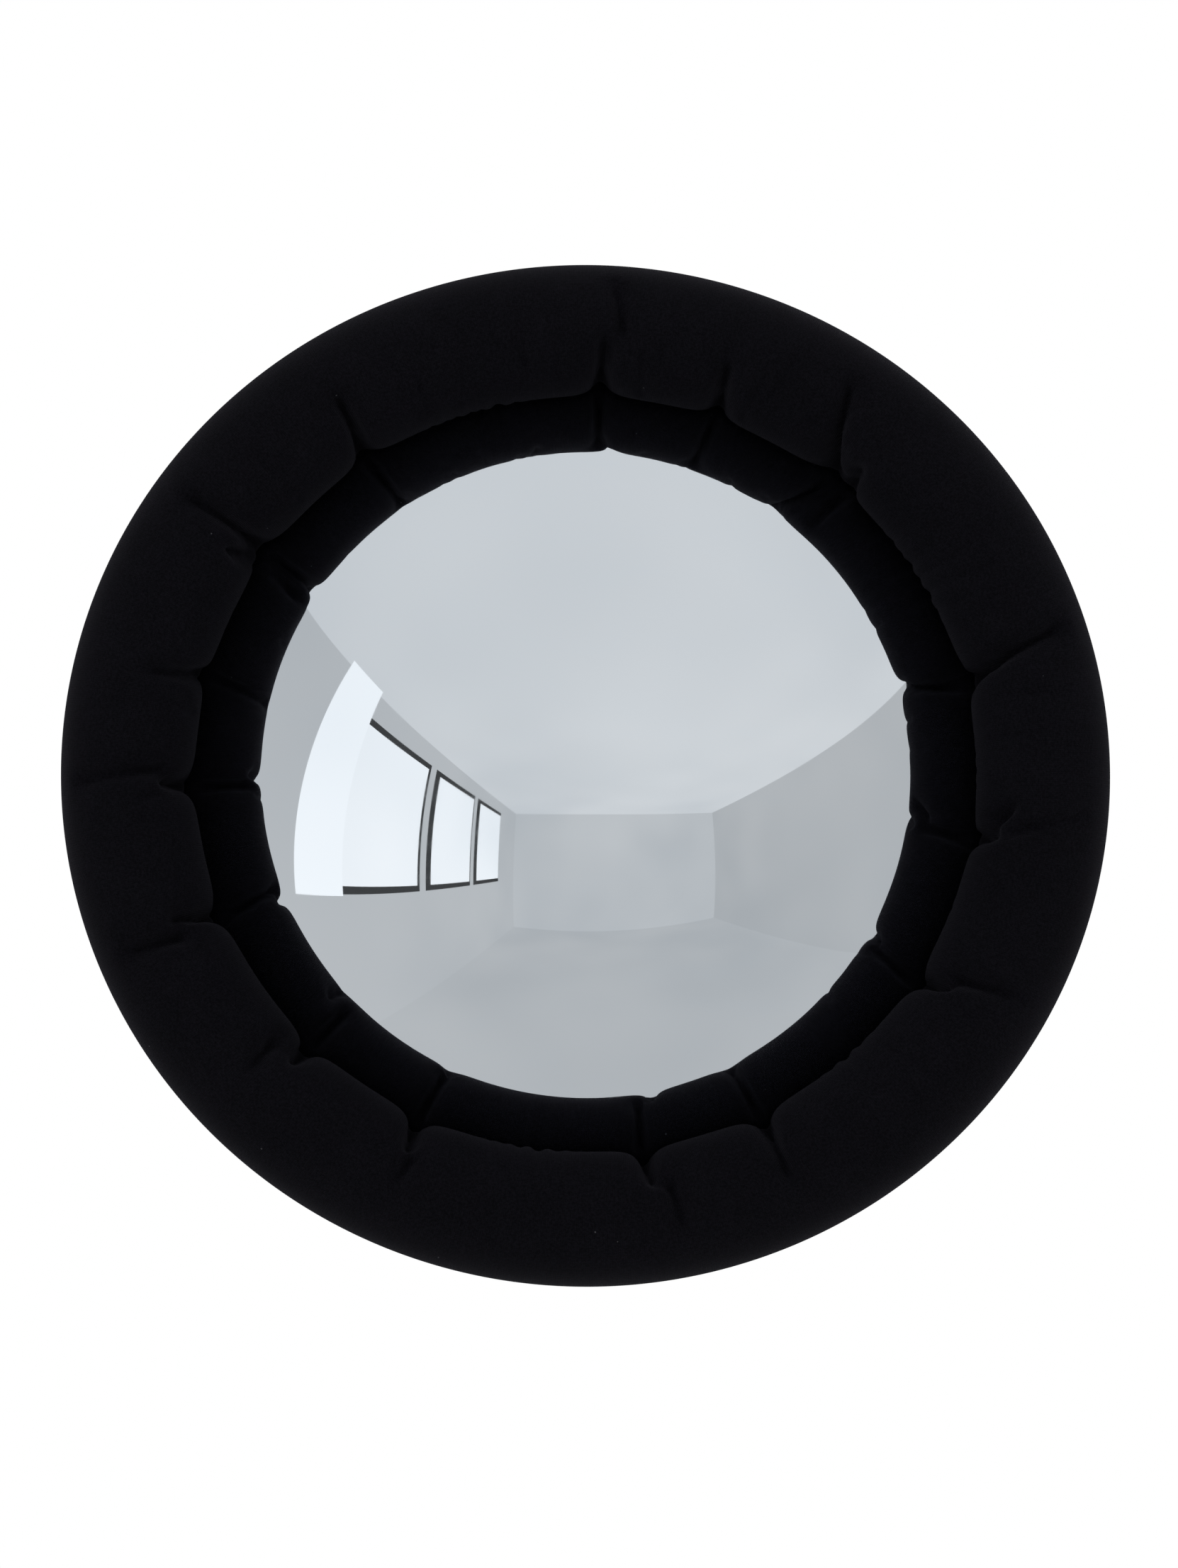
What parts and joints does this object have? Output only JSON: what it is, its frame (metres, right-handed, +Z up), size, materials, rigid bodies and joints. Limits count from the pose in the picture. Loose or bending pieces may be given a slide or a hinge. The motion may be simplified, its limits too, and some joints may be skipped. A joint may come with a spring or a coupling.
{
  "type": "convex security mirror",
  "caption": "Round convex wall mirror in a stuffed black fabric ring, on a wall bracket that pans and tilts and is clamped by two star knobs.",
  "frame": {"origin": "centre of the wall plate's back face, on the wall", "axes": "+Z up, -Y out of the wall along the way the mirror looks, +Y into the wall, +X to the right of somebody who looks at the mirror"},
  "size_m": [0.5839, 0.2852, 0.584],
  "materials": {
    "mirror": "polished, vacuum-silvered acrylic",
    "ring_fabric": "matte, fine black knit with a soft nap",
    "ring_stuffing": "loose white polyester fibre",
    "gasket_foam": "closed-cell foam",
    "plywood": "sanded birch plywood",
    "webbing": "woven polyester tape",
    "dust_cloth": "thin non-woven cloth",
    "staple_wire": "galvanised wire",
    "zinc_steel": "bright zinc plate",
    "powder_coat": "fine-textured black powder coat",
    "cast_aluminium": "die-cast, bead-blasted",
    "nylon": "natural nylon",
    "knob_plastic": "moulded, fine texture",
    "brass": "turned brass"
  },
  "bodies": {
    "wall_bracket": {"wall_plate": "powder_coat", "pan_bolt": "zinc_steel", "pan_washer": "zinc_steel"},
    "knuckle_arm": {"knuckle": "cast_aluminium", "pan_bushes": "nylon", "tilt_bushes": "nylon"},
    "mirror_head": {"mirror_dome": "mirror", "dome_gasket": "gasket_foam", "dome_screws": "zinc_steel", "dome_washers": "zinc_steel", "backing_board": "plywood", "t_nuts": "zinc_steel", "ring_cover": "ring_fabric", "ring_filling": "ring_stuffing", "ring_tapes": "webbing", "tape_staples": "staple_wire", "dust_cloth": "dust_cloth", "cloth_staples": "staple_wire", "mirror_plate": "powder_coat", "plate_screws": "zinc_steel", "tilt_bolt": "zinc_steel", "tilt_washer": "zinc_steel"},
    "pan_clamp": {"pan_knob": "knob_plastic", "pan_knob_insert": "brass"},
    "tilt_clamp": {"tilt_knob": "knob_plastic", "tilt_knob_insert": "brass"}
  },
  "joints": [
    {"name": "pan", "type": "hinge", "parent": "wall_bracket", "child": "knuckle_arm", "pos_m": [0, -0.05, 0], "axis": [0, 0, 1], "range_deg": [-20, 20]},
    {"name": "tilt", "type": "hinge", "parent": "knuckle_arm", "child": "mirror_head", "pos_m": [0, -0.11, 0], "axis": [1, 0, 0], "range_deg": [-20, 20]},
    {"name": "pan_knob_turn", "type": "hinge", "parent": "wall_bracket", "child": "pan_clamp", "pos_m": [0, -0.05, 0.03], "axis": [0, 0, 1], "range_deg": [0, 360]},
    {"name": "tilt_knob_turn", "type": "hinge", "parent": "mirror_head", "child": "tilt_clamp", "pos_m": [0.03, -0.11, 0], "axis": [1, 0, 0], "range_deg": [0, 360]}
  ]
}
